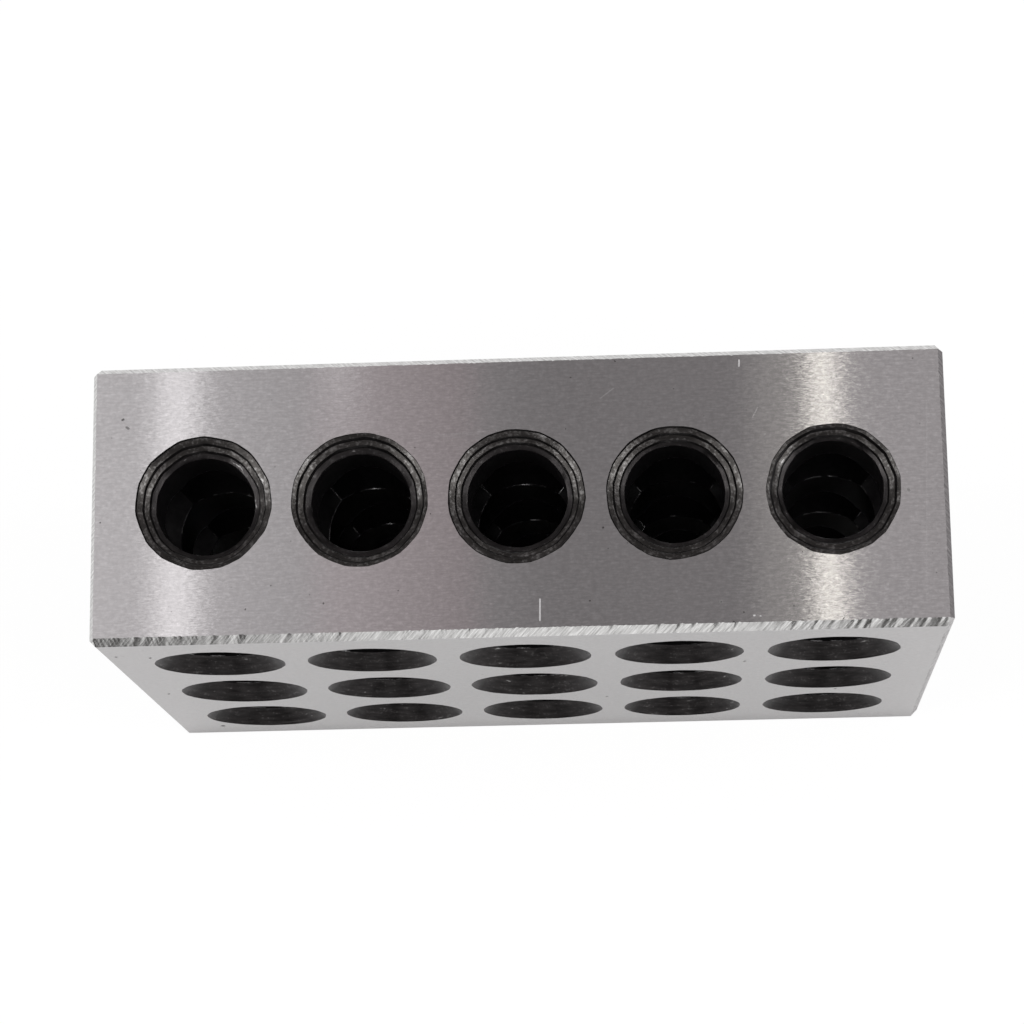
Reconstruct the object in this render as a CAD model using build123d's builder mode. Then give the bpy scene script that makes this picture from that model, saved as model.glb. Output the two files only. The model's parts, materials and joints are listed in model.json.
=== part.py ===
"""Machinist setup block: a hardened and ground steel block drilled with a lattice of crossing holes.

The block stands on one of its narrow long faces. Its length runs along X, its thickness along Y and
its height along Z. The origin is the centre of the face that it stands on.
"""

import os
from math import radians, tan

from build123d import *

# Ground body, with proportions of three to one to two
length = 76.2
thickness = 25.4
height = 50.8
edge_chamfer = 0.5

# Plain through holes, all of one drill size
hole_diameter = 8.9

# Countersunk mouths, with the flats that a chattering tool leaves around them
mouth_widening = 1.65
mouth_angle = 90.0
mouth_flat_count = 15

# Lattice: distance from a ground face to the axis of the nearest hole, and the least land between mouths
end_margin = 10.1
base_margin = 10.4
least_land = 1.5

mouth_diameter = hole_diameter + 2 * mouth_widening
mouth_slope = mouth_angle / 2
mouth_depth = mouth_widening / tan(radians(mouth_slope))


def spread(span):
    """Even places along a span, centred on its middle, as many as the lands between mouths allow."""
    gaps = int(span / (mouth_diameter + least_land))
    return [span * (i / gaps - 0.5) for i in range(gaps + 1)]


columns = spread(length - 2 * end_margin)
rows = spread(height - 2 * base_margin)

# Each set of parallel holes: its plane through the block's middle, its reach from face to face, its centres.
# The three sets share the middle planes, so that three holes cross at every lattice point.
middle = (0, 0, height / 2)
hole_sets = [
    (Plane(middle, x_dir=(1, 0, 0), z_dir=(0, 0, 1)), height, [(x, 0) for x in columns]),
    (Plane(middle, x_dir=(1, 0, 0), z_dir=(0, -1, 0)), thickness, [(x, z) for x in columns for z in rows]),
    (Plane(middle, x_dir=(0, 1, 0), z_dir=(1, 0, 0)), length, [(0, z) for z in rows]),
]

# The form that a countersink takes out of a face, widest at its base and narrowing upwards to the bore
with BuildPart() as mouth:
    with BuildSketch():
        RegularPolygon(mouth_diameter / 2, mouth_flat_count)
    extrude(amount=mouth_depth, taper=mouth_slope)

with BuildPart() as setup_block:
    with BuildSketch():
        Rectangle(length, thickness)
    extrude(amount=height)
    chamfer(setup_block.edges(), length=edge_chamfer)

    # Bores, drilled right through from one face of each pair
    for plane, reach, centres in hole_sets:
        with Locations(plane.offset(reach / 2)):
            with Locations(centres):
                Hole(hole_diameter / 2, depth=reach)

    # Countersinks at both ends of each bore, turned over at the end that the plane faces
    for plane, reach, centres in hole_sets:
        for end, turn in ((reach / 2, 180), (-reach / 2, 0)):
            with Locations(plane.offset(end)):
                with Locations(centres):
                    add(mouth.part, rotation=(turn, 0, 0), mode=Mode.SUBTRACT)

setup_block.part.label = "setup_block"

os.makedirs("parts", exist_ok=True)
export_step(setup_block.part, "parts/setup_block.step")
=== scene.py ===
"""Looks of the machinist setup block: ground faces, hand-ground edges and dark, chattered holes."""

import json
import math
import random

import bmesh
import bpy
from mathutils import Matrix, Vector


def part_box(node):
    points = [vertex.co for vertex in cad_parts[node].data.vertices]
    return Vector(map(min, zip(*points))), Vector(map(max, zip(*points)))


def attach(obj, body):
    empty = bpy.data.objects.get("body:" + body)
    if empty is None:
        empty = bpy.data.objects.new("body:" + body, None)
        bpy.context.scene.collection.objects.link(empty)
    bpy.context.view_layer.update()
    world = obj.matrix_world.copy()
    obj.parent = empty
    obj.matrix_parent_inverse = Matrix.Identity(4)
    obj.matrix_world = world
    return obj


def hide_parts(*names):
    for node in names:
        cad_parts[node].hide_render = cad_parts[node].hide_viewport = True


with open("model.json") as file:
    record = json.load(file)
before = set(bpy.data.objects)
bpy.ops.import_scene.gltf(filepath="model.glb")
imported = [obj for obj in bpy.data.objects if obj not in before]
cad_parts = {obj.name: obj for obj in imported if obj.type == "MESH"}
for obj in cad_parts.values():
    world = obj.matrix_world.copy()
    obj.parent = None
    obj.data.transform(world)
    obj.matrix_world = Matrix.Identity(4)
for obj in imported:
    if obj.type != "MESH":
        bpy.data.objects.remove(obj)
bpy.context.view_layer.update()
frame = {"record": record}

MM = 0.001
NODE = "setup_block"
SEED = 11

# Camera, fitted to the photograph: angles in degrees, place in millimetres from the block's base centre
CAMERA_AZIMUTH = 14.62
CAMERA_ELEVATION = 76.54
CAMERA_ROLL = -15.81
CAMERA_PLACE = (15.26, -61.67, 310.30)
CAMERA_LENS = 105.94
CAMERA_SENSOR = 36.0
CAMERA_NEAR = 0.01

# Block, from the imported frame
LOW, HIGH = (Vector(corner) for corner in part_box(NODE))
CENTRE = (LOW + HIGH) / 2
HALF = (HIGH - LOW) / 2
BORE_RADIUS = next(m["dims"]["hole_r_mm"] for m in frame["record"]["mounts"] if m["kind"] == "bolt_pattern") * MM

# Faces, as an axis and a side of the block
LEFT, RIGHT = (0, -1), (0, 1)
FRONT, BACK = (1, -1), (1, 1)
TOP = (2, 1)

# Edge chamfers, ground by hand with slanting strokes, each a little different
EDGE_LEG = 0.50 * MM
EDGE_LEGS = {
    frozenset((FRONT, TOP)): 0.66 * MM,
    frozenset((BACK, TOP)): 0.45 * MM,
    frozenset((LEFT, TOP)): 0.32 * MM,
    frozenset((RIGHT, TOP)): 0.42 * MM,
    frozenset((LEFT, BACK)): 0.65 * MM,
    frozenset((RIGHT, FRONT)): 0.65 * MM,
    frozenset((RIGHT, BACK)): 0.65 * MM,
}
EDGE_STEP = 0.13 * MM
EDGE_ROWS = 3

# Strokes: mean pitch, slant, ranges of their gaps and half widths as shares of the pitch, lean towards shallow ones,
# and how far along the edge they are laid, as a share of its half length
STROKE_PITCH = 0.38 * MM
STROKE_SLANT = 0.8
STROKE_GAPS = (0.4, 1.6)
STROKE_HALF_WIDTHS = (0.3, 0.7)
STROKE_BIAS = 1.5
STROKE_REACH = 1.1

# Depth of the strokes in a chamfer and their bite into the face above it, as shares of its leg
STROKE_DEPTH = 0.012
STROKE_BITE = 0.16

# Countersunk mouths, cut in steps by a chattering tool: treads that catch light and steeper risers between them
MOUTH_WIDENING = 1.65 * MM
MOUTH_STEPS = 3
RISER_DROP = 0.33 * MM
TREAD_DROP = 0.20 * MM
STEP_WOBBLE = 0.025 * MM
STEP_JITTER = 0.008 * MM
STEP_TWIST = 0.03
MOUTH_FLATS = 15

# Ranges of the steps' shares, of the first riser's part above the face, of the shift of the flats' corners and of
# their flatness
STEP_SHARES = (0.75, 1.25)
LEAD_SHARES = (0.35, 0.6)
CORNER_SHIFTS = (-0.2, 0.2)
FLATNESS_SHARES = (0.6, 1.3)

# For the holes along X, Y and Z: range of mouth sizes, run of each riser, and share of flats in the mouth's outline
MOUTH_SIZES = ((0.92, 1.0), (0.92, 1.0), (1.0, 1.06))
RISER_RUN = (0.27 * MM, 0.27 * MM, 0.16 * MM)
FLATNESS = (0.3, 0.3, 0.5)

# Holes along Y and Z that are sunk less: ranges of their place along the length, as shares of the half length
SHALLOW_PLACES = {1: ((-0.5, -0.2), (0.2, 0.5)), 2: ((0.6, 0.9),)}
SHALLOW_TRIM = 0.17 * MM

# Mouths on the top: how far the rim lies off the bore along Y at the middle of the block, and its slope along X
RIM_SHIFT = -0.11 * MM
RIM_SLOPE = -0.0053

# Cutting forms: how far a mouth's form reaches out of its face and flares there, points around a hole, least radius
# of a mouth as a share of the bore's, step from the mouth to the bore, and step in bore radius from axis to axis
MOUTH_OVERSHOOT = 0.6 * MM
OVERSHOOT_FLARE = 0.3
HOLE_SEGMENTS = 90
LEAST_MOUTH = 1.004
BORE_LEAD = 0.06 * MM
BORE_STAGGER = 0.004 * MM

# Material zones in the order of the block's materials, and what tells them apart
GROUND, EDGE, WORN_LIT_MOUTH, DARK_MOUTH, BORE = range(5)
FACE_TOLERANCE = 0.01 * MM
FACE_COSINE = 0.999
TREAD_COSINE = 0.7
WORN_LIT_DEPTH = 1.0 * MM
EDGE_ZONE = 1.2 * MM

# Mesh: points this near are one, and edges above this angle are sharp
WELD = 1e-7
SHARP_ANGLE = math.radians(24)

# Grain map: distance between the places of different edges and of different faces on it
EDGE_MAP_STEP = 0.01
FACE_MAP_STEP = 0.1

# Small marks: share of their width at full strength; then face, start and end on it in millimetres, half width in
# millimetres, and strength from 0 to 1
MARK_CORE = 0.4
SCRATCHES = [
    (TOP, (1.94, -9.5), (1.91, -11.4), 0.09, 0.75),
    (TOP, (20.05, 11.75), (20.02, 11.2), 0.09, 0.7),
    (TOP, (21.55, 7.35), (21.08, 6.45), 0.05, 0.25),
    (TOP, (7.6, 8.6), (8.8, 9.5), 0.05, 0.18),
    (TOP, (36.5, 7.6), (35.7, -10.4), 0.06, 0.08),
    (TOP, (20.65, -11.45), (20.7, -11.45), 0.11, 0.8),
    (TOP, (21.2, -11.5), (21.25, -11.5), 0.08, 0.6),
]
PITS = [
    (TOP, (-35.4, 7.9), (-35.3, 7.95), 0.13, 0.8),
    (TOP, (-35.0, 7.2), (-34.85, 7.1), 0.16, 0.5),
    (TOP, (17.8, -10.15), (17.85, -10.15), 0.14, 0.8),
    (TOP, (34.5, -0.5), (34.6, -0.6), 0.14, 0.5),
    (FRONT, (-33.4, 4.5), (-33.35, 4.8), 0.26, 0.95),
    (FRONT, (-36.75, 45.1), (-36.7, 45.3), 0.16, 0.8),
    (FRONT, (-33.8, 44.2), (-33.75, 44.4), 0.16, 0.8),
    (FRONT, (-35.5, 24.8), (-35.45, 25.0), 0.16, 0.8),
    (FRONT, (19.95, 35.1), (20.0, 35.3), 0.16, 0.8),
    (FRONT, (28.95, 18.6), (29.0, 18.8), 0.15, 0.7),
    (FRONT, (6.65, 17.2), (6.7, 17.4), 0.14, 0.7),
]

# Floor: corners in metres, paint, and its own white with the share that it has
FLOOR_CORNERS = ((-0.2, -0.25), (0.2, 0.6))
FLOOR_PAINT = (0.85, 0.85, 0.85)
FLOOR_WHITE = 1.05
FLOOR_GLOW = 0.9

# Mirrored floor: share of that glow in front of the block, Y from which it is full, border of the dark footprint
FRONT_GLOW = 0.2
FULL_GLOW_FROM = 0.1
FOOTPRINT_EDGE = 1.0 * MM

# Light of the surround and of its front, where white is 1, and the cosines to -Y between which one turns into the other
SURROUND = (0.300, 0.283, 0.291)
FRONT_SURROUND = (0.080, 0.078, 0.075)
FRONT_COSINES = (0.6, 0.95)

# Cards that the steel mirrors, in metres: reach and height of the one overhead, ends of the two upright ones
CEILING_REACH = 6.0
CEILING_HEIGHT = 0.9
FRONT_CARD = ((-0.55, -1.1, 0.0), (0.45, -1.1, 0.5))
RIGHT_CARD = ((1.0, -0.3, -0.35), (1.0, 0.8, 0.3))

# Lamps overhead, in metres: height, and middle and length along Y
LAMP_HEIGHT = 0.60
LAMP_MIDDLE = 0.13
LAMP_LENGTH = 0.60


def material_nodes(name):
    """A new node material with its tree and its shader."""
    material = bpy.data.materials.new(name)
    material.use_nodes = True
    tree = material.node_tree
    return material, tree, tree.nodes["Principled BSDF"]


def add_node(tree, kind, **settings):
    """A node of that kind, with sockets set by name and properties by attribute."""
    node = tree.nodes.new(kind)
    for key, value in settings.items():
        if key in node.inputs:
            node.inputs[key].default_value = value
        else:
            setattr(node, key, value)
    return node


def ramp(tree, source, low, high, low_value=0.0, high_value=1.0):
    """source mapped from low..high to low_value..high_value, clamped."""
    node = add_node(tree, "ShaderNodeMapRange")
    node.inputs["From Min"].default_value = low
    node.inputs["From Max"].default_value = high
    node.inputs["To Min"].default_value = low_value
    node.inputs["To Max"].default_value = high_value
    tree.links.new(source, node.inputs["Value"])
    return node.outputs["Result"]


def mix_colour(tree, factor, first, second):
    """Colour mix of two colours or sockets by a socket."""
    node = tree.nodes.new("ShaderNodeMix")
    node.data_type = "RGBA"
    tree.links.new(factor, node.inputs["Factor"])
    for socket, value in ((node.inputs[6], first), (node.inputs[7], second)):
        if isinstance(value, bpy.types.NodeSocket):
            tree.links.new(value, socket)
        else:
            socket.default_value = (*value, 1.0)
    return node.outputs[2]


def mix_value(tree, factor, first, second):
    """Value mix of a socket and a number by a socket."""
    node = tree.nodes.new("ShaderNodeMix")
    tree.links.new(factor, node.inputs[0])
    tree.links.new(first, node.inputs[2])
    node.inputs[3].default_value = second
    return node.outputs[0]


def vector_math(tree, operation, first, second):
    """Result of a vector operation on two sockets or constants."""
    node = add_node(tree, "ShaderNodeVectorMath", operation=operation)
    for socket, value in zip(node.inputs, (first, second)):
        if isinstance(value, bpy.types.NodeSocket):
            tree.links.new(value, socket)
        else:
            socket.default_value = value
    return node.outputs["Value"] if operation in ("DOT_PRODUCT", "LENGTH") else node.outputs["Vector"]


def noise(tree, vector, scale, detail=2.0, rough=0.5):
    """Factor output of a noise texture."""
    node = add_node(tree, "ShaderNodeTexNoise", Scale=scale, Detail=detail, Roughness=rough)
    tree.links.new(vector, node.inputs["Vector"])
    return node.outputs["Fac"]


def scaled(tree, vector, scale):
    """vector stretched by a scale for each axis."""
    node = add_node(tree, "ShaderNodeMapping", Scale=scale)
    tree.links.new(vector, node.inputs["Vector"])
    return node.outputs["Vector"]


def scaled_by(tree, first, second):
    """Product of two value sockets."""
    node = add_node(tree, "ShaderNodeMath", operation="MULTIPLY")
    tree.links.new(first, node.inputs[0])
    tree.links.new(second, node.inputs[1])
    return node.outputs[0]


def largest(tree, values):
    """Largest of several value sockets."""
    result = values[0]
    for value in values[1:]:
        node = add_node(tree, "ShaderNodeMath", operation="MAXIMUM")
        tree.links.new(result, node.inputs[0])
        tree.links.new(value, node.inputs[1])
        result = node.outputs[0]
    return result


def on_face(face, spot):
    """Point of a face at the place given by its other two coordinates in millimetres."""
    axis, side = face
    point = [value * MM for value in spot]
    point.insert(axis, (HIGH if side > 0 else LOW)[axis])
    return Vector(point)


def small_marks(tree, place, marks):
    """Mask of short marks on the ground faces."""
    masks = []
    for face, start, end, half_width, strength in marks:
        start = on_face(face, start)
        run = on_face(face, end) - start
        away = vector_math(tree, "SUBTRACT", place, start)
        reached = ramp(tree, vector_math(tree, "DOT_PRODUCT", away, run / run.length_squared), 0.0, 1.0)
        step = add_node(tree, "ShaderNodeVectorMath", operation="SCALE")
        step.inputs[0].default_value = run
        tree.links.new(reached, step.inputs["Scale"])
        aside = vector_math(tree, "SUBTRACT", away, step.outputs["Vector"])
        distance = vector_math(tree, "LENGTH", aside, (0.0, 0.0, 0.0))
        masks.append(ramp(tree, distance, half_width * MM, half_width * MM * MARK_CORE, 0.0, strength))
    return largest(tree, masks)


def ground_steel():
    """Surface-ground steel: fine parallel grain that stretches highlights across it, with a few small marks."""
    material, tree, shader = material_nodes("ground_steel")
    links = tree.links
    uv = add_node(tree, "ShaderNodeUVMap", uv_map="grain").outputs["UV"]
    place = tree.nodes.new("ShaderNodeTexCoord").outputs["Object"]

    grain = noise(tree, scaled(tree, uv, (8000.0, 1100.0, 1.0)), 1.0, 2.0, 0.5)
    dashes = noise(tree, scaled(tree, uv, (5200.0, 1100.0, 1.0)), 1.0, 3.0, 0.6)
    mottle = noise(tree, place, 2600.0, 2.0, 0.6)
    cloud = noise(tree, place, 60.0, 2.0, 0.5)
    specks = noise(tree, place, 2300.0, 1.0, 0.5)
    scratches = small_marks(tree, place, SCRATCHES)
    pits = small_marks(tree, place, PITS)

    fine = mix_colour(tree, ramp(tree, dashes, 0.3, 0.7), (0.475, 0.47, 0.465), (0.675, 0.67, 0.665))
    flecked = mix_colour(tree, ramp(tree, mottle, 0.3, 0.7, 0.0, 0.8), fine, (0.46, 0.455, 0.45))
    toned = mix_colour(tree, ramp(tree, cloud, 0.35, 0.65, 0.0, 0.2), flecked, (0.55, 0.535, 0.53))
    spotted = mix_colour(tree, ramp(tree, specks, 0.78, 0.81), toned, (0.16, 0.155, 0.15))
    scraped = mix_colour(tree, scratches, spotted, (0.92, 0.92, 0.92))
    pitted = mix_colour(tree, pits, scraped, (0.07, 0.068, 0.066))
    links.new(pitted, shader.inputs["Base Color"])

    smooth = ramp(tree, dashes, 0.3, 0.7, 0.075, 0.10)
    marks = largest(tree, [scratches, pits])
    links.new(mix_value(tree, marks, smooth, 0.6), shader.inputs["Roughness"])
    links.new(ramp(tree, marks, 0.0, 1.0, 1.0, 0.0), shader.inputs["Metallic"])
    bump = add_node(tree, "ShaderNodeBump", Strength=1.0, Distance=3e-6)
    links.new(grain, bump.inputs["Height"])
    links.new(bump.outputs["Normal"], shader.inputs["Normal"])
    tangent = add_node(tree, "ShaderNodeTangent", direction_type="UV_MAP", uv_map="grain")
    links.new(tangent.outputs["Tangent"], shader.inputs["Tangent"])
    shader.inputs["Anisotropic"].default_value = 1.0
    return material


def ground_edge():
    """Edge chamfer, ground by hand: bright and dark strokes that slant across it."""
    material, tree, shader = material_nodes("ground_edge")
    links = tree.links
    uv = add_node(tree, "ShaderNodeUVMap", uv_map="grain").outputs["UV"]
    strokes = noise(tree, scaled(tree, uv, (4200.0, 700.0, 1.0)), 1.0, 2.0, 0.6)
    bouts = noise(tree, scaled(tree, uv, (420.0, 100.0, 1.0)), 1.0, 2.0, 0.5)
    tone = mix_colour(tree, ramp(tree, strokes, 0.35, 0.65), (0.46, 0.455, 0.45), (0.80, 0.795, 0.79))
    uneven = mix_colour(tree, ramp(tree, bouts, 0.35, 0.65, 0.0, 0.25), tone, (0.42, 0.415, 0.41))
    links.new(uneven, shader.inputs["Base Color"])
    bump = add_node(tree, "ShaderNodeBump", Strength=1.0, Distance=7e-6)
    links.new(strokes, bump.inputs["Height"])
    links.new(bump.outputs["Normal"], shader.inputs["Normal"])
    shader.inputs["Metallic"].default_value = 1.0
    shader.inputs["Roughness"].default_value = 0.18
    return material


def separated(tree, vector):
    """The three values of a vector socket."""
    node = tree.nodes.new("ShaderNodeSeparateXYZ")
    tree.links.new(vector, node.inputs["Vector"])
    return list(node.outputs)


def beyond_faces(tree, place):
    """How far a place lies beyond the block's faces along each axis, below 0 between them."""
    aside = vector_math(tree, "ABSOLUTE", vector_math(tree, "SUBTRACT", place, CENTRE), (0.0, 0.0, 0.0))
    return separated(tree, vector_math(tree, "SUBTRACT", aside, HALF))


def ring_marks(tree, place):
    """Noise drawn out along the rings that the tool leaves at each depth below a face."""
    marks = add_node(tree, "ShaderNodeTexNoise", noise_dimensions="4D", Scale=1.0, Detail=3.0, Roughness=0.6)
    tree.links.new(scaled(tree, place, (600.0, 600.0, 600.0)), marks.inputs["Vector"])
    tree.links.new(ramp(tree, largest(tree, beyond_faces(tree, place)), 0.0, -5.0 * MM, 0.0, 20.0), marks.inputs["W"])
    return marks.outputs["Fac"]


def mouth_steel(name, dark, worn, share):
    """Countersink: dark heat-treatment scale with ring marks, worn through to steel over a share of it, with painted
    glints along the brightest ring marks.
    """
    material, tree, shader = material_nodes(name)
    links = tree.links
    place = tree.nodes.new("ShaderNodeTexCoord").outputs["Object"]
    grit = noise(tree, place, 4200.0, 2.0, 0.6)
    patch = noise(tree, place, 3400.0, 2.0, 0.5)
    rings = ring_marks(tree, place)
    lined = mix_colour(tree, ramp(tree, rings, 0.35, 0.65), dark, [2.2 * value for value in dark])
    mixed = add_node(tree, "ShaderNodeMix")
    mixed.inputs[0].default_value = 0.45
    links.new(patch, mixed.inputs[2])
    links.new(rings, mixed.inputs[3])
    bare = ramp(tree, mixed.outputs[0], 0.61 - 0.235 * share, 0.78 - 0.235 * share)
    thin = mix_colour(tree, bare, lined, worn)
    # Painted glints: short bright dashes along the strongest ring marks
    painted_glints = ramp(tree, rings, 0.68, 0.76)
    links.new(mix_colour(tree, painted_glints, thin, (0.50, 0.495, 0.49)), shader.inputs["Base Color"])
    bump = add_node(tree, "ShaderNodeBump", Strength=1.0, Distance=11e-6)
    links.new(grit, bump.inputs["Height"])
    links.new(bump.outputs["Normal"], shader.inputs["Normal"])
    shader.inputs["Metallic"].default_value = 0.8
    shader.inputs["Roughness"].default_value = 0.34
    shader.inputs["Specular IOR Level"].default_value = 0.3
    return material


def bore_scale():
    """Bore wall: near-black scale, rubbed bright along the edges where bores cross."""
    material, tree, shader = material_nodes("bore_scale")
    links = tree.links
    place = tree.nodes.new("ShaderNodeTexCoord").outputs["Object"]
    grit = noise(tree, place, 1500.0, 3.0, 0.6)
    rounded = add_node(tree, "ShaderNodeBevel", samples=4, Radius=0.2 * MM).outputs["Normal"]
    own = tree.nodes.new("ShaderNodeNewGeometry").outputs["Normal"]
    edge = ramp(tree, vector_math(tree, "DOT_PRODUCT", rounded, own), 0.98, 0.85)
    wear = scaled_by(tree, edge, ramp(tree, noise(tree, place, 620.0, 2.0, 0.5), 0.50, 0.60))

    tone = mix_colour(tree, ramp(tree, grit, 0.35, 0.7), (0.005, 0.0046, 0.005), (0.010, 0.0093, 0.0098))
    rubbed = mix_colour(tree, wear, tone, (0.78, 0.775, 0.78))
    links.new(rubbed, shader.inputs["Base Color"])
    bump = add_node(tree, "ShaderNodeBump", Strength=0.8, Distance=8e-6)
    links.new(grit, bump.inputs["Height"])
    links.new(rounded, bump.inputs["Normal"])
    links.new(bump.outputs["Normal"], shader.inputs["Normal"])
    links.new(wear, shader.inputs["Metallic"])
    links.new(ramp(tree, wear, 0.0, 1.0, 0.36, 0.14), shader.inputs["Roughness"])
    shader.inputs["Specular IOR Level"].default_value = 0.1
    return material


def along(axis):
    """Unit vector of axis 0, 1 or 2."""
    return Vector([1.0 if i == axis else 0.0 for i in range(3)])


def others(axis):
    """The two axes other than axis, in order."""
    return [a for a in range(3) if a != axis]


def leg(first, second):
    """Chamfer leg on the edge between two faces."""
    return EDGE_LEGS.get(frozenset((first, second)), EDGE_LEG)


def strokes_along(random_source, reach):
    """Depth of the grinding strokes along an edge, from 0 to 1, as a function of the place along it."""
    marks = []
    at = -STROKE_REACH * reach
    while at < STROKE_REACH * reach:
        at += STROKE_PITCH * random_source.uniform(*STROKE_GAPS)
        half_width = STROKE_PITCH * random_source.uniform(*STROKE_HALF_WIDTHS)
        marks.append((at, half_width, random_source.random() ** STROKE_BIAS))
    cells = {}
    for mark in marks:
        for cell in (-1, 0, 1):
            cells.setdefault(int(mark[0] // MM) + cell, []).append(mark)

    def depth(s):
        near = cells.get(int(s // MM), [])
        return max([weight * max(0.0, 1.0 - abs(s - middle) / width) for middle, width, weight in near], default=0.0)

    return depth


def edge_grid(axis, u_face, v_face, random_source):
    """Points over one chamfer, rows from the face u to the face v, with strokes that bite into the face v."""
    u, v = u_face[1] * along(u_face[0]), v_face[1] * along(v_face[0])
    width = leg(u_face, v_face)
    ends = [[side * (HALF[axis] - leg(face, (axis, side))) for face in (u_face, v_face)] for side in (-1, 1)]
    count = round(2 * HALF[axis] / EDGE_STEP)
    depth = strokes_along(random_source, HALF[axis])
    inward = -(u + v).normalized()
    rows = []
    for j in range(EDGE_ROWS + 1):
        t = j / EDGE_ROWS
        start, end = (first + t * (second - first) for first, second in ends)
        row = []
        for i in range(count + 1):
            s = start + (end - start) * i / count
            cut = depth(s - STROKE_SLANT * width * math.sqrt(2) * t) if 0 < i < count else 0.0
            point = s * along(axis)
            point += u * (HALF[u_face[0]] - width * t) + v * (HALF[v_face[0]] - width * (1 - t))
            point -= u * (STROKE_BITE * width * cut * t)
            if 0 < j < EDGE_ROWS:
                point += inward * (STROKE_DEPTH * width * cut)
            row.append(CENTRE + point)
        rows.append(row)
    return rows


def face_outline(grids, normal, sign):
    """Border of one flat face, from the chamfers around it."""
    a, b = others(normal)
    outline = []
    for axis, side, forward in ((a, -1, True), (b, 1, True), (a, 1, False), (b, -1, False)):
        across = 3 - normal - axis
        if normal < across:
            row = grids[axis, sign, side][0]
        else:
            row = grids[axis, side, sign][-1]
        outline += (row if forward else row[::-1])[:-1]
    return outline


def corner_outline(grids, signs):
    """The ends of the three chamfers that meet at a corner, in order around it."""
    ends = []
    for axis in range(3):
        u_axis, v_axis = others(axis)
        for row in grids[axis, signs[u_axis], signs[v_axis]]:
            point = row[-1 if signs[axis] > 0 else 0]
            if all((point - other).length > WELD for other in ends):
                ends.append(point)
    middle = sum(ends, Vector()) / len(ends)
    first = (ends[0] - middle).normalized()
    second = Vector(signs).normalized().cross(first)
    return sorted(ends, key=lambda p: math.atan2((p - middle).dot(second), (p - middle).dot(first)))


def blank_mesh():
    """The block before drilling: six flat faces, twelve hand-ground chamfers and eight corner facets."""
    random_source = random.Random(SEED)
    sides = (-1, 1)
    grids = {}
    for axis in range(3):
        u_axis, v_axis = others(axis)
        for p in sides:
            for q in sides:
                grids[axis, p, q] = edge_grid(axis, (u_axis, p), (v_axis, q), random_source)
    bm = bmesh.new()
    for rows in grids.values():
        verts = [[bm.verts.new(point) for point in row] for row in rows]
        for lower, upper in zip(verts, verts[1:]):
            for i in range(len(lower) - 1):
                bm.faces.new((lower[i], lower[i + 1], upper[i + 1], upper[i]))
    outlines = [face_outline(grids, normal, sign) for normal in range(3) for sign in sides]
    outlines += [corner_outline(grids, (x, y, z)) for x in sides for y in sides for z in sides]
    for outline in outlines:
        bm.faces.new([bm.verts.new(point) for point in outline])
    bmesh.ops.remove_doubles(bm, verts=bm.verts, dist=WELD)
    bmesh.ops.recalc_face_normals(bm, faces=bm.faces)
    mesh = bpy.data.meshes.new("blank")
    bm.to_mesh(mesh)
    bm.free()
    return mesh


def flat_corners(random_source):
    """Angles at which the tool's flats meet around a mouth, evenly spread and a little irregular."""
    pitch = 2 * math.pi / MOUTH_FLATS
    start = random_source.uniform(0, pitch)
    return [start + pitch * (k + random_source.uniform(*CORNER_SHIFTS)) for k in range(MOUTH_FLATS)]


def flat_factor(corners, angle):
    """Radius at an angle of a polygon with those corners on the unit circle."""
    full = 2 * math.pi
    turned = (angle - corners[0]) % full
    for k, corner in enumerate(corners):
        start = corner - corners[0]
        end = corners[k + 1] - corners[0] if k + 1 < len(corners) else full
        if turned <= end:
            half = (end - start) / 2
            return math.cos(half) / math.cos(turned - start - half)
    return 1.0


def widening_at(axis, centre, random_source):
    """How far one mouth widens beyond its bore."""
    place = (centre.x - CENTRE.x) / HALF.x
    shallow = any(low < place < high for low, high in SHALLOW_PLACES.get(axis, ()))
    return MOUTH_WIDENING * random_source.uniform(*MOUTH_SIZES[axis]) - (SHALLOW_TRIM if shallow else 0.0)


def mouth_knots(axis, widening, random_source):
    """Steps of one mouth from outside the face to the bore: (radius, depth) of the ends of risers and treads."""
    shares = [random_source.uniform(*STEP_SHARES) for _ in range(MOUTH_STEPS)]
    shares = [MOUTH_STEPS * share / sum(shares) for share in shares]
    riser_run = RISER_RUN[axis]
    tread_run = widening / MOUTH_STEPS - riser_run
    lead = random_source.uniform(*LEAD_SHARES) * RISER_DROP
    radius = BORE_RADIUS + widening + riser_run * lead / RISER_DROP
    depth = -lead
    knots = [(radius + OVERSHOOT_FLARE * MOUTH_OVERSHOOT, -MOUTH_OVERSHOOT), (radius, depth)]
    for share in shares:
        radius -= riser_run * share
        depth += RISER_DROP * share
        knots.append((radius, depth))
        radius -= tread_run * share
        depth += TREAD_DROP * share
        knots.append((radius, depth))
    return knots


def mouth_loops(axis, widening, random_source):
    """Rings of points of one mouth as (angle, radius, depth), from outside the face to the bore."""
    corners = flat_corners(random_source)
    flatness = FLATNESS[axis] * random_source.uniform(*FLATNESS_SHARES)
    knots = mouth_knots(axis, widening, random_source)
    loops = []
    turn = 0.0
    for k, (radius, depth) in enumerate(knots):
        lag = random_source.uniform(0, 2 * math.pi)
        turn += random_source.uniform(-STEP_TWIST, STEP_TWIST)
        turned = [corner + turn for corner in corners]
        loop = []
        for n in range(HOLE_SEGMENTS):
            angle = 2 * math.pi * n / HOLE_SEGMENTS
            wave = math.sin(2 * angle + lag) + 0.6 * math.sin(5 * angle - 2 * lag)
            out = radius * (1 - flatness * (1 - flat_factor(turned, angle)))
            out += random_source.gauss(0.0, STEP_JITTER)
            sunk = depth + (STEP_WOBBLE * wave + random_source.gauss(0.0, STEP_JITTER) if k > 0 else 0.0)
            loop.append((angle, max(BORE_RADIUS * LEAST_MOUTH, out), sunk))
        loops.append(loop)
    return loops


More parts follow.
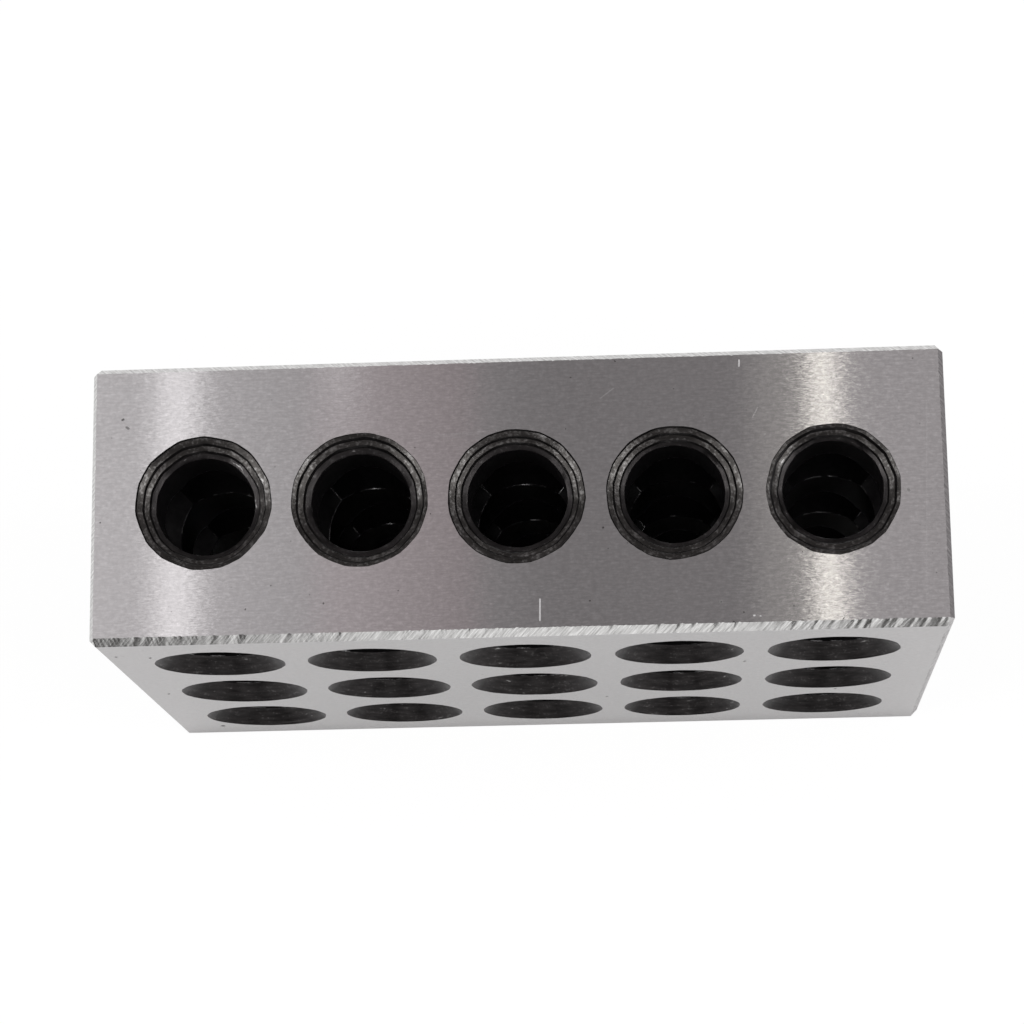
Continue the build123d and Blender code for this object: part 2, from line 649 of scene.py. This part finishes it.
def rim_offset(face, centre):
    """How far the rim of a mouth on that face lies off its bore."""
    if face != TOP:
        return Vector()
    return (RIM_SHIFT + RIM_SLOPE * (centre.x - CENTRE.x)) * along(1)


def hole_cutter(bm, axis, centre, bore_radius, random_source):
    """Closed form of one through hole, with a stepped countersink at each end."""
    u, v = along((axis + 1) % 3), along((axis + 2) % 3)
    phase = axis * math.pi / (3 * HOLE_SEGMENTS)
    rings = []
    for end in (-1, 1):
        loops = mouth_loops(axis, widening_at(axis, centre, random_source), random_source)
        deepest = max(depth for _, _, depth in loops[-1]) + BORE_LEAD
        loops.append([(angle, bore_radius, deepest) for angle, _, _ in loops[-1]])
        offset = rim_offset((axis, end), centre) / MOUTH_WIDENING
        placed = []
        for loop in loops:
            ring = []
            for angle, radius, depth in loop:
                point = centre + radius * (math.cos(angle + phase) * u + math.sin(angle + phase) * v)
                point += (radius - bore_radius) * offset
                point[axis] = CENTRE[axis] + end * (HALF[axis] - depth)
                ring.append(bm.verts.new(point))
            placed.append(ring)
        rings += placed if end < 0 else placed[::-1]
    for lower, upper in zip(rings, rings[1:]):
        for k in range(HOLE_SEGMENTS):
            following = (k + 1) % HOLE_SEGMENTS
            bm.faces.new((lower[k], lower[following], upper[following], upper[k]))
    bm.faces.new(rings[0])
    bm.faces.new(rings[-1])


def drilled_mesh():
    """The block with every hole cut, each set of parallel holes in one pass."""
    scene = bpy.context.scene
    block = bpy.data.objects.new("blank", blank_mesh())
    scene.collection.objects.link(block)
    cutters = []
    for axis in range(3):
        random_source = random.Random(SEED + axis)
        bm = bmesh.new()
        for opening in frame["record"]["physics"]["openings"]:
            low, high = (Vector(corner) for corner in opening["box_m"])
            if low[axis] < LOW[axis] and high[axis] > HIGH[axis]:
                hole_cutter(bm, axis, (low + high) / 2, BORE_RADIUS + (axis - 1) * BORE_STAGGER, random_source)
        bmesh.ops.recalc_face_normals(bm, faces=bm.faces)
        mesh = bpy.data.meshes.new(f"cutter_{axis}")
        bm.to_mesh(mesh)
        bm.free()
        cutter = bpy.data.objects.new(f"cutter_{axis}", mesh)
        scene.collection.objects.link(cutter)
        cutters.append(cutter)
        cut = block.modifiers.new(f"holes_{axis}", "BOOLEAN")
        cut.operation = "DIFFERENCE"
        cut.solver = "EXACT"
        cut.object = cutter
    graph = bpy.context.evaluated_depsgraph_get()
    mesh = bpy.data.meshes.new_from_object(block.evaluated_get(graph))
    for spare in [block, *cutters]:
        bpy.data.objects.remove(spare)
    return mesh


def inset(point):
    """Distance of a point inside the nearer face of each pair."""
    return [HALF[axis] - abs(point[axis] - CENTRE[axis]) for axis in range(3)]


def zone_of(face):
    """Material zone of a face: the outer treads of the top and base mouths get a lighter copy of the scale, partly wear
    and partly painted light that those treads catch; the rest of the mouths dark.
    """
    depths = inset(face.calc_center_median())
    axis = min(range(3), key=lambda a: depths[a])
    facing = abs(face.normal[axis])
    if depths[axis] < FACE_TOLERANCE and facing > FACE_COSINE:
        return GROUND
    if sorted(depths)[1] < EDGE_ZONE:
        return EDGE
    if depths[axis] > MOUTH_WIDENING:
        return BORE
    return WORN_LIT_MOUTH if axis == 2 and depths[axis] < WORN_LIT_DEPTH and facing > TREAD_COSINE else DARK_MOUTH


def grain_uv(face, point):
    """Place on the grain map: across and along the grain of a face, or across and along the strokes of an edge."""
    if face.material_index == EDGE:
        axis = min(range(3), key=lambda a: abs(face.normal[a]))
        depths = inset(point)
        u_axis, v_axis = others(axis)
        over = (depths[u_axis] - depths[v_axis]) / math.sqrt(2)
        return point[axis] - STROKE_SLANT * over, over + EDGE_MAP_STEP * axis
    normal = max(range(3), key=lambda a: abs(face.normal[a]))
    lengthwise = 2 if normal == 0 else 0
    across = 3 - normal - lengthwise
    shift = FACE_MAP_STEP * (1 + normal) * (1 if face.normal[normal] > 0 else 2)
    return point[across] + shift, point[lengthwise] + shift


def finish_mesh(mesh):
    """Material zones, sharp edges and the grain map of the drilled block."""
    bm = bmesh.new()
    bm.from_mesh(mesh)
    grain = bm.loops.layers.uv.new("grain")
    for face in bm.faces:
        face.material_index = zone_of(face)
        face.smooth = face.material_index != GROUND
        for loop in face.loops:
            loop[grain].uv = grain_uv(face, loop.vert.co)
    for edge in bm.edges:
        zones = {face.material_index for face in edge.link_faces}
        edge.smooth = len(zones) == 1 and edge.calc_face_angle(0.0) < SHARP_ANGLE
    bm.to_mesh(mesh)
    bm.free()


def setup_block():
    """The visible block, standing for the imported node."""
    mesh = drilled_mesh()
    mesh.materials.append(ground_steel())
    mesh.materials.append(ground_edge())
    # The lighter copy on the outer top and base treads is partly wear and partly painted light; the darker copy is the
    # plain scale of the risers and side mouths
    mesh.materials.append(mouth_steel("mouth_worn_lit", (0.032, 0.030, 0.0285), (0.21, 0.205, 0.20), 0.45))
    mesh.materials.append(mouth_steel("mouth_scale", (0.019, 0.0175, 0.0175), (0.11, 0.108, 0.106), 0.2))
    mesh.materials.append(bore_scale())
    finish_mesh(mesh)
    piece = bpy.data.objects.new("ground_block", mesh)
    bpy.context.scene.collection.objects.link(piece)
    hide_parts(NODE)
    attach(piece, "root")


def background_rays(tree, mirrored=None):
    """1 for rays to the camera, and 1 or a given share for rays that are mirrored or pass through glass."""
    path = tree.nodes.new("ShaderNodeLightPath").outputs
    passed_on = largest(tree, [path["Is Glossy Ray"], path["Is Transmission Ray"]])
    if mirrored:
        passed_on = scaled_by(tree, passed_on, mirrored)
    return largest(tree, [path["Is Camera Ray"], passed_on])


def stage_piece(name, corners, material):
    """Four-cornered piece of the stage."""
    mesh = bpy.data.meshes.new(name)
    mesh.from_pydata(corners, [], [(0, 1, 2, 3)])
    mesh.materials.append(material)
    piece = bpy.data.objects.new(name, mesh)
    bpy.context.scene.collection.objects.link(piece)
    return piece


def pale_floor():
    """Floor that is white as background and keeps the block's shadow."""
    material, tree, shader = material_nodes("pale_floor")
    tree.nodes.remove(shader)
    output = tree.nodes["Material Output"]
    paint = add_node(tree, "ShaderNodeBsdfDiffuse", Color=(*FLOOR_PAINT, 1.0))
    glow = add_node(tree, "ShaderNodeEmission", Strength=FLOOR_WHITE)
    place = tree.nodes.new("ShaderNodeTexCoord").outputs["Object"]
    behind = ramp(tree, separated(tree, place)[1], LOW.y, FULL_GLOW_FROM, FRONT_GLOW, 1.0)
    beside = ramp(tree, largest(tree, beyond_faces(tree, place)[:2]), 0.0, FOOTPRINT_EDGE)
    share = ramp(tree, background_rays(tree, scaled_by(tree, behind, beside)), 0.0, 1.0, 0.0, FLOOR_GLOW)
    blend = tree.nodes.new("ShaderNodeMixShader")
    tree.links.new(share, blend.inputs["Fac"])
    tree.links.new(paint.outputs[0], blend.inputs[1])
    tree.links.new(glow.outputs[0], blend.inputs[2])
    tree.links.new(blend.outputs[0], output.inputs["Surface"])

    (left, front), (right, rear) = FLOOR_CORNERS
    stage_piece("floor", [(left, front, 0), (right, front, 0), (right, rear, 0), (left, rear, 0)], material)


def grey_card(name, corners, colour):
    """Card that only the steel mirrors."""
    material, tree, shader = material_nodes(name)
    tree.nodes.remove(shader)
    glow = add_node(tree, "ShaderNodeEmission", Color=(*colour, 1.0), Strength=1.0)
    tree.links.new(glow.outputs[0], tree.nodes["Material Output"].inputs["Surface"])
    material.cycles.emission_sampling = "NONE"
    card = stage_piece(name, corners, material)
    card.visible_camera = False
    card.visible_diffuse = False
    card.visible_shadow = False


def upright(low, high):
    """Corners of an upright card between its lowest and its highest corner."""
    (x0, y0, z0), (x1, y1, z1) = low, high
    return [(x0, y0, z0), (x1, y1, z0), (x1, y1, z1), (x0, y0, z1)]


def studio_cards():
    """Grey card overhead, dark card behind the front lamps and grey card on the right."""
    reach, height = CEILING_REACH, CEILING_HEIGHT
    corners = [(-reach, -reach, height), (reach, -reach, height), (reach, reach, height), (-reach, reach, height)]
    grey_card("ceiling_card", corners, SURROUND)
    grey_card("front_card", upright(*FRONT_CARD), FRONT_SURROUND)
    grey_card("right_card", upright(*RIGHT_CARD), SURROUND)


def softbox(name, place, aim, width, length, level, colour=(1.0, 1.0, 1.0), spread=180.0):
    """Rectangular lamp at place, in metres, facing aim, its length nearest to Y, with level 1 for white."""
    light = bpy.data.lights.new(name, "AREA")
    light.shape = "RECTANGLE"
    light.size = width
    light.size_y = length
    light.energy = 4 * level * width * length
    light.color = colour
    light.spread = math.radians(spread)
    lamp = bpy.data.objects.new(name, light)
    back = (Vector(place) - Vector(aim)).normalized()
    side = Vector((0, 1, 0)).cross(back)
    side = side.normalized() if side.length > 0.3 else Vector((1, 0, 0))
    lamp.matrix_world = Matrix((side, back.cross(side), back)).transposed().to_4x4()
    lamp.location = place
    lamp.visible_camera = False
    bpy.context.scene.collection.objects.link(lamp)


def overhead(name, x, width, level, colour, y=LAMP_MIDDLE, length=LAMP_LENGTH):
    """Lamp that faces straight down."""
    softbox(name, (x, y, LAMP_HEIGHT), (x, y, 0.0), width, length, level, colour)


def studio_light():
    """Strips and panels overhead that the top mirrors, soft light from both sides and low lamps in front."""
    rosy, cool, yellow, red = (1.03, 0.98, 1.0), (1.01, 0.985, 1.01), (1.03, 0.99, 0.92), (1.0, 0.2, 0.3)
    slanting = (-0.13, LAMP_MIDDLE, LAMP_HEIGHT)
    overhead("left_strip", -0.127, 0.011, 0.55, cool)
    overhead("streak", -0.082, 0.009, 0.35, cool, 0.32, 0.30)
    overhead("right_strip", 0.053, 0.006, 1.35, yellow)
    overhead("right_skirt", 0.044, 0.022, 0.10, yellow)
    softbox("left_gradient", slanting, (0.20, 0.0, 0.05), 0.30, LAMP_LENGTH, 0.102, cool, 55.0)
    overhead("rose_card", -0.066, 0.045, 0.032, red)
    overhead("right_panel", 0.21, 0.31, 0.19, rosy)
    softbox("left_key", (-0.6, -0.1, 0.6), (0, 0, 0.03), 0.5, 0.5, 2.45)
    softbox("right_key", (0.6, -0.1, 0.6), (0, 0, 0.03), 0.5, 0.5, 2.30)
    softbox("front_panel", (-0.009, -0.75, 0.245), (-0.009, 0, 0.05), 0.18, 0.36, 0.78)
    softbox("front_wing", (-0.132, -0.75, 0.245), (-0.132, 0, 0.05), 0.066, 0.36, 0.50)


def surround():
    """World that lights the block like a grey room and is white as background."""
    world = bpy.data.worlds.new("surround")
    bpy.context.scene.world = world
    world.use_nodes = True
    tree = world.node_tree
    backdrop = tree.nodes["Background"]
    direction = tree.nodes.new("ShaderNodeTexCoord").outputs["Generated"]
    frontward = vector_math(tree, "DOT_PRODUCT", direction, (0.0, -1.0, 0.0))
    studio = mix_colour(tree, ramp(tree, frontward, *FRONT_COSINES), SURROUND, FRONT_SURROUND)
    shade = mix_colour(tree, background_rays(tree), studio, (1.0, 1.0, 1.0))
    tree.links.new(shade, backdrop.inputs["Color"])


def camera():
    """Camera at the photograph's place and angle."""
    azimuth, elevation, roll = (math.radians(a) for a in (CAMERA_AZIMUTH, CAMERA_ELEVATION, CAMERA_ROLL))
    flat = math.cos(elevation)
    back = Vector((math.sin(azimuth) * flat, -math.cos(azimuth) * flat, math.sin(elevation)))
    side = Vector((0, 0, 1)).cross(back).normalized()
    up = back.cross(side)
    right = math.cos(roll) * side + math.sin(roll) * up
    top = math.cos(roll) * up - math.sin(roll) * side
    data = bpy.data.cameras.new("camera")
    data.lens = CAMERA_LENS
    data.sensor_width = CAMERA_SENSOR
    data.clip_start = CAMERA_NEAR
    eye = bpy.data.objects.new("camera", data)
    eye.matrix_world = Matrix((right, top, back)).transposed().to_4x4()
    eye.location = Vector(CAMERA_PLACE) * MM
    bpy.context.scene.collection.objects.link(eye)
    bpy.context.scene.camera = eye


setup_block()
pale_floor()
studio_cards()
studio_light()
surround()
camera()
bpy.context.scene.view_settings.view_transform = "Standard"
